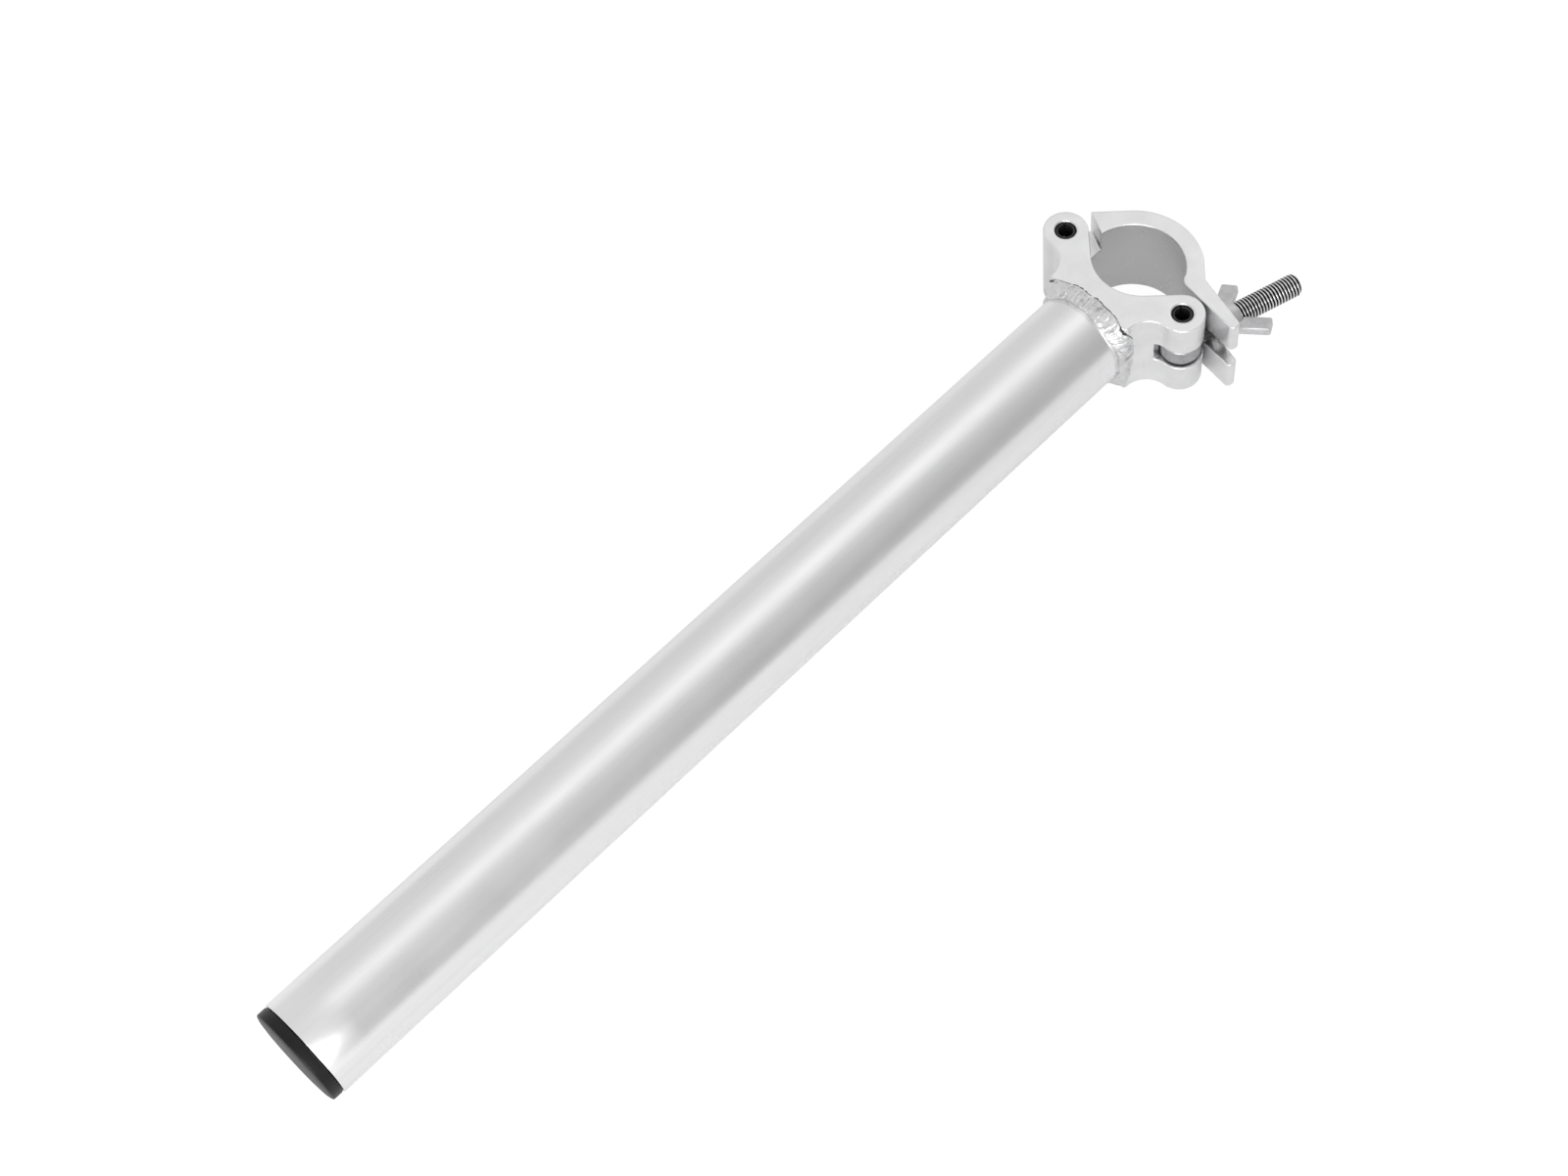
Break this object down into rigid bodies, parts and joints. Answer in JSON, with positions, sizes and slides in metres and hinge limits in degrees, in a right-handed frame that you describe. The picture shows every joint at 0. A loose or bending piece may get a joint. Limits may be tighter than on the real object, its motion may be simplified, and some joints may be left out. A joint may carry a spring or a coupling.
{
  "type": "pipe clamp",
  "caption": "Hinged half coupler for a round stage pipe, closed by a swing bolt with a wing nut and welded to the end of a plugged aluminium tube.",
  "frame": {"origin": "centre of the pipe seat in the clamp body, at the middle of the clamp's width", "axes": "+Z along the axis of the clamped pipe, +X away from the welded tube towards the jaw, +Y towards the jaw's hinge pin"},
  "size_m": [0.5998, 0.1184, 0.0526],
  "materials": {
    "cast_aluminium": "tumbled satin, bright edges",
    "tube_aluminium": "mill finish with fine lengthwise drawing lines",
    "weld_aluminium": "rippled weld bead",
    "black_steel": "black oxide",
    "thread_steel": "dark zinc plated",
    "zinc_steel": "zinc plated",
    "zinc_nut": "grey zinc, lightly cast",
    "black_plastic": "matte moulded"
  },
  "bodies": {
    "clamp": {"clamp_body": "cast_aluminium", "hinge_pin": "black_steel", "bolt_pin": "black_steel", "main_tube": "tube_aluminium", "weld_bead": "weld_aluminium", "end_plug": "black_plastic"},
    "jaw": {"clamp_jaw": "cast_aluminium"},
    "bolt": {"swing_bolt": "thread_steel"},
    "washer_ring": {"washer": "zinc_steel"},
    "nut": {"wing_nut": "zinc_nut"}
  },
  "joints": [
    {"name": "bolt_swing", "type": "hinge", "parent": "clamp", "child": "bolt", "pos_m": [-0.014, -0.038, 0], "axis": [0, 0, -1], "range_deg": [0, 65]},
    {"name": "jaw_hinge", "type": "hinge", "parent": "clamp", "child": "jaw", "pos_m": [-0.014, 0.038, 0], "axis": [0, 0, 1], "range_deg": [0, 15.5]},
    {"name": "nut_travel", "type": "slide", "parent": "bolt", "child": "washer_ring", "axis": [0.9583, -0.2857, 0], "range_m": [0, 0.04]},
    {"name": "nut_turn", "type": "hinge", "parent": "washer_ring", "child": "nut", "pos_m": [-0.014, -0.038, 0], "axis": [0.9583, -0.2857, 0], "range_deg": [0, 8228.6]}
  ],
  "couplings": [
    {"joint": "jaw_hinge", "follows": "bolt_swing", "ratio": 0.23846},
    {"joint": "nut_travel", "follows": "bolt_swing", "m_per_rad": 0.035259},
    {"joint": "nut_turn", "follows": "bolt_swing", "ratio": 126.59}
  ]
}
